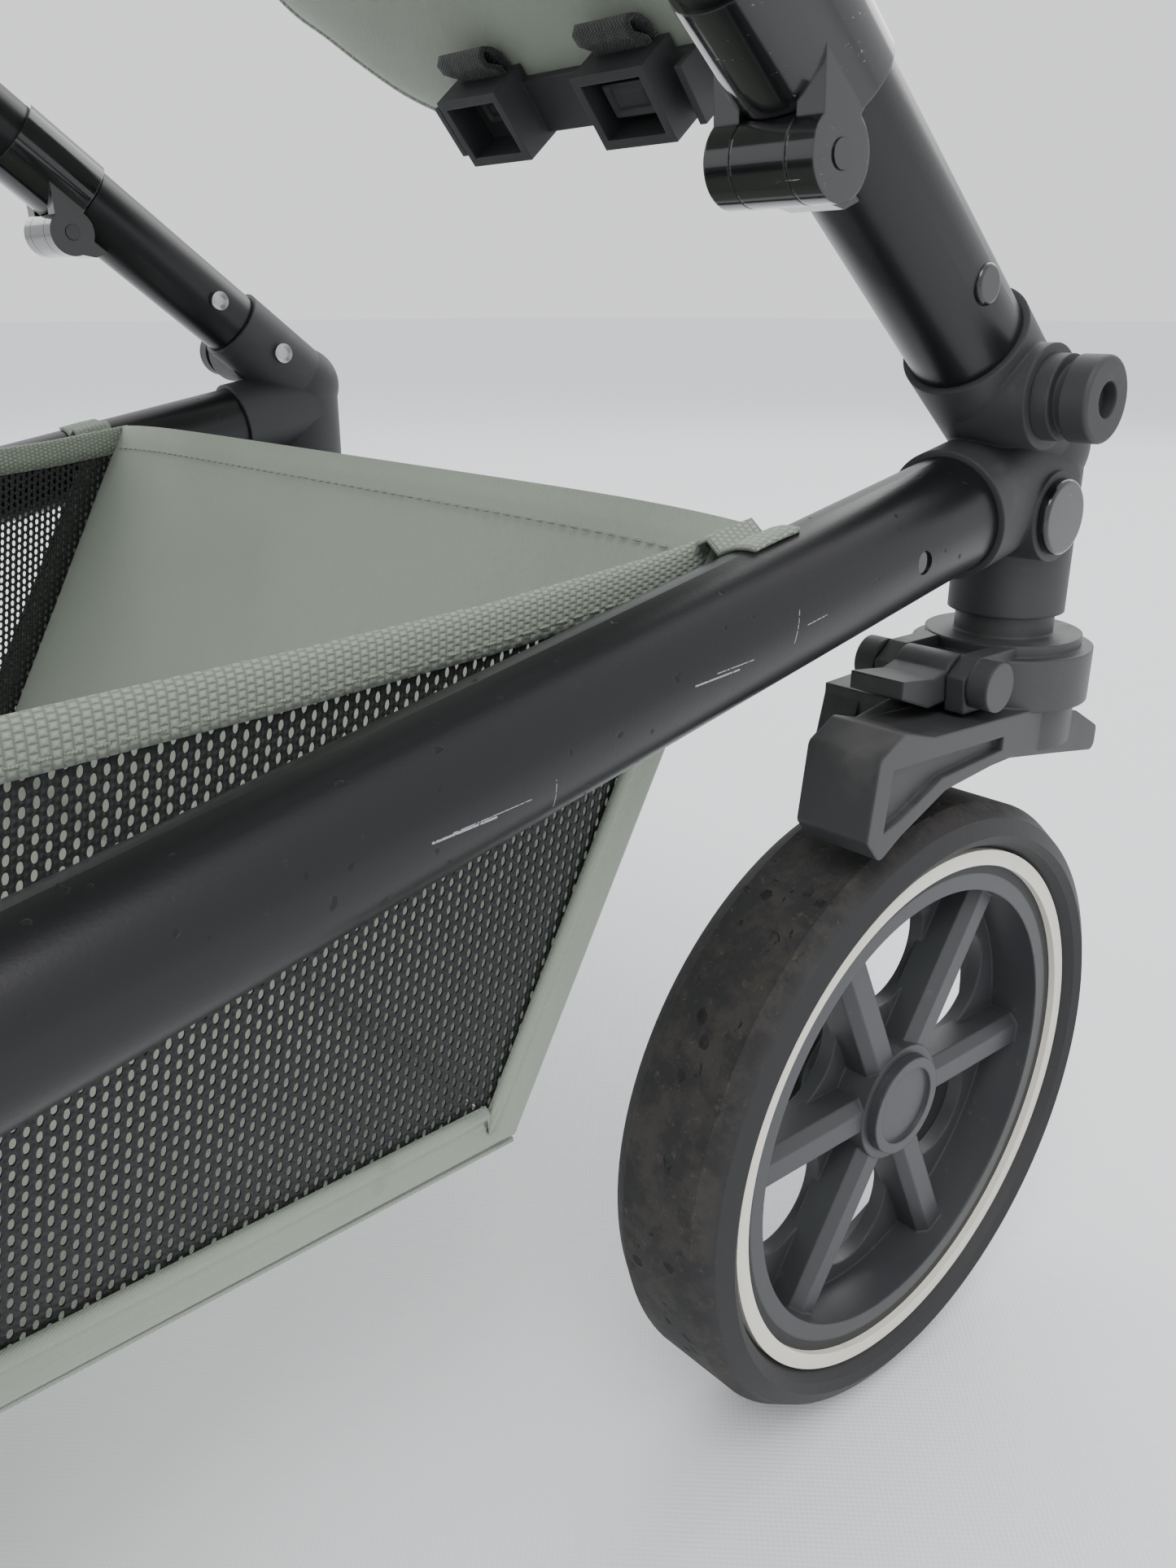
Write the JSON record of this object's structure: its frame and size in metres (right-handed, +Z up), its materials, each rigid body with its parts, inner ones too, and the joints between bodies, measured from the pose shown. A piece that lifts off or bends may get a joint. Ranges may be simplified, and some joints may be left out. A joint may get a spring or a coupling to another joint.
{
  "type": "pushchair",
  "caption": "Folding pushchair with swivelling front wheels, fabric basket, reclining seat with footrest and canopy, and a sliding handle.",
  "frame": {"origin": "on the floor in the middle plane, below the centre of the bounding box", "axes": "the pushchair faces -Y, +X is its left side, +Z is up"},
  "size_m": [0.606, 0.8336, 0.99],
  "materials": {
    "black_gloss": "gloss black moulding",
    "black_tube": "satin black powder coat",
    "cream_ring": "cream moulding",
    "dark_plastic": "fine grained dark grey moulding",
    "leatherette": "dark leatherette",
    "rim_plastic": "dark grey moulding",
    "sage_fabric": "sage green woven fabric",
    "steel": "plated steel",
    "tyre_black": "matte solid tyre",
    "webbing": "black webbing"
  },
  "bodies": {
    "chassis": {"lower_tubes": "black_tube", "front_posts": "black_tube", "front_housing_right": "dark_plastic", "front_housing_left": "dark_plastic", "transport_studs": "dark_plastic", "covers_and_screws": "black_gloss", "cross_tube": "black_tube", "hinge_knuckles": "black_gloss", "hinge_pins": "steel", "rear_brackets": "dark_plastic", "rear_axle": "steel", "basket": "sage_fabric", "basket_straps": "sage_fabric"},
    "fork_right": {"fork_right": "dark_plastic"},
    "fork_left": {"fork_left": "dark_plastic"},
    "lock_lever_right": {"swivel_lock_lever_right": "dark_plastic"},
    "lock_lever_left": {"swivel_lock_lever_left": "dark_plastic"},
    "brake": {"brake_pedal": "dark_plastic"},
    "upper_frame": {"main_tubes": "black_tube", "hinge_ears": "black_gloss", "side_joints": "dark_plastic", "handle_sleeves": "black_tube", "handle_collars": "dark_plastic"},
    "rear_legs": {"rear_legs": "black_tube"},
    "leg_sliders": {"leg_sliders": "dark_plastic"},
    "handle": {"handle_tube": "black_tube", "handle_grip": "leatherette"},
    "handle_button": {"handle_button": "dark_plastic"},
    "seat_button_right": {"seat_release_button_right": "dark_plastic"},
    "seat_button_left": {"seat_release_button_left": "dark_plastic"},
    "seat": {"seat_rail_right": "black_tube", "seat_rail_left": "black_tube", "seat_bars": "black_tube", "seat_pad": "sage_fabric", "back_pad": "sage_fabric", "harness_straps": "webbing", "harness_buckle": "dark_plastic", "canopy_rear": "sage_fabric"},
    "canopy_middle": {"canopy_middle": "sage_fabric"},
    "canopy_front": {"canopy_front": "sage_fabric"},
    "bumper_bar": {"bumper_bar": "leatherette"},
    "footrest": {"footrest": "sage_fabric", "footrest_hinges": "dark_plastic", "strap_plate": "dark_plastic"},
    "front_wheel_right": {"front_wheel_tyre_right": "tyre_black", "front_wheel_ring_right": "cream_ring", "front_wheel_rim_right": "rim_plastic", "front_wheel_hub_cap_right": "rim_plastic"},
    "front_wheel_left": {"front_wheel_tyre_left": "tyre_black", "front_wheel_ring_left": "cream_ring", "front_wheel_rim_left": "rim_plastic", "front_wheel_hub_cap_left": "rim_plastic"},
    "rear_wheel_right": {"rear_wheel_tyre_right": "tyre_black", "rear_wheel_ring_right": "cream_ring", "rear_wheel_rim_right": "rim_plastic", "rear_wheel_hub_cap_right": "rim_plastic"},
    "rear_wheel_left": {"rear_wheel_tyre_left": "tyre_black", "rear_wheel_ring_left": "cream_ring", "rear_wheel_rim_left": "rim_plastic", "rear_wheel_hub_cap_left": "rim_plastic"}
  },
  "joints": [
    {"name": "front_swivel_right", "type": "hinge", "parent": "chassis", "child": "fork_right", "pos_m": [-0.2014, -0.3632, 0.26], "axis": [0, 0, 1], "continuous": true},
    {"name": "front_wheel_spin_right", "type": "hinge", "parent": "fork_right", "child": "front_wheel_right", "pos_m": [-0.2014, -0.3168, 0.1], "axis": [1, 0, 0], "continuous": true},
    {"name": "swivel_lock_right", "type": "hinge", "parent": "fork_right", "child": "lock_lever_right", "pos_m": [-0.2014, -0.3262, 0.237], "axis": [1, 0, 0], "range_deg": [0, 20]},
    {"name": "rear_wheel_spin_right", "type": "hinge", "parent": "chassis", "child": "rear_wheel_right", "pos_m": [-0.279, 0.2718, 0.145], "axis": [1, 0, 0], "continuous": true},
    {"name": "seat_release_right", "type": "slide", "parent": "upper_frame", "child": "seat_button_right", "axis": [1, 0, 0], "range_m": [0, 0.003], "stiffness_N_per_m": 600, "springref_m": -0.002},
    {"name": "front_swivel_left", "type": "hinge", "parent": "chassis", "child": "fork_left", "pos_m": [0.2014, -0.3632, 0.26], "axis": [0, 0, 1], "continuous": true},
    {"name": "front_wheel_spin_left", "type": "hinge", "parent": "fork_left", "child": "front_wheel_left", "pos_m": [0.2014, -0.3168, 0.1], "axis": [1, 0, 0], "continuous": true},
    {"name": "swivel_lock_left", "type": "hinge", "parent": "fork_left", "child": "lock_lever_left", "pos_m": [0.2014, -0.3262, 0.237], "axis": [1, 0, 0], "range_deg": [0, 20]},
    {"name": "rear_wheel_spin_left", "type": "hinge", "parent": "chassis", "child": "rear_wheel_left", "pos_m": [0.279, 0.2718, 0.145], "axis": [1, 0, 0], "continuous": true},
    {"name": "seat_release_left", "type": "slide", "parent": "upper_frame", "child": "seat_button_left", "axis": [-1, 0, 0], "range_m": [0, 0.003], "stiffness_N_per_m": 600, "springref_m": -0.002},
    {"name": "brake", "type": "hinge", "parent": "chassis", "child": "brake", "pos_m": [0, 0.2718, 0.145], "axis": [-1, 0, 0], "range_deg": [0, 18]},
    {"name": "chassis_fold", "type": "hinge", "parent": "chassis", "child": "upper_frame", "pos_m": [0, -0.2491, 0.36516], "axis": [-1, 0, 0], "range_deg": [0, 40]},
    {"name": "leg_fold", "type": "hinge", "parent": "chassis", "child": "rear_legs", "pos_m": [0, 0.2268, 0.185], "axis": [1, 0, 0], "range_deg": [0, 16]},
    {"name": "leg_slide", "type": "slide", "parent": "upper_frame", "child": "leg_sliders", "axis": [0, -0.7848, -0.6198], "range_m": [0, 0.12]},
    {"name": "handle_height", "type": "slide", "parent": "upper_frame", "child": "handle", "axis": [0, 0.7314, 0.682], "range_m": [-0.08, 0.04]},
    {"name": "handle_button", "type": "slide", "parent": "handle", "child": "handle_button", "axis": [0, 0.7314, 0.682], "range_m": [0, 0.0015], "stiffness_N_per_m": 600, "springref_m": -0.002},
    {"name": "seat_recline", "type": "hinge", "parent": "upper_frame", "child": "seat", "pos_m": [0, -0.0132, 0.57491], "axis": [-1, 0, 0], "range_deg": [0, 20]},
    {"name": "canopy_fold", "type": "hinge", "parent": "seat", "child": "canopy_front", "pos_m": [0, 0.06379, 0.75407], "axis": [-1, 0, 0], "range_deg": [0, 56]},
    {"name": "canopy_middle_fold", "type": "hinge", "parent": "seat", "child": "canopy_middle", "pos_m": [0, 0.06379, 0.75407], "axis": [-1, 0, 0], "range_deg": [0, 28]},
    {"name": "bumper_bar", "type": "hinge", "parent": "seat", "child": "bumper_bar", "pos_m": [0, 0.03812, 0.69435], "axis": [1, 0, 0], "range_deg": [0, 40]},
    {"name": "footrest", "type": "hinge", "parent": "seat", "child": "footrest", "pos_m": [0, -0.2852, 0.52], "axis": [-1, 0, 0], "range_deg": [0, 50]}
  ],
  "couplings": [
    {"joint": "leg_fold", "follows": "chassis_fold", "ratio": 0.393},
    {"joint": "leg_slide", "follows": "chassis_fold", "m_per_rad": 0.16987},
    {"joint": "canopy_middle_fold", "follows": "canopy_fold", "ratio": 0.5}
  ]
}
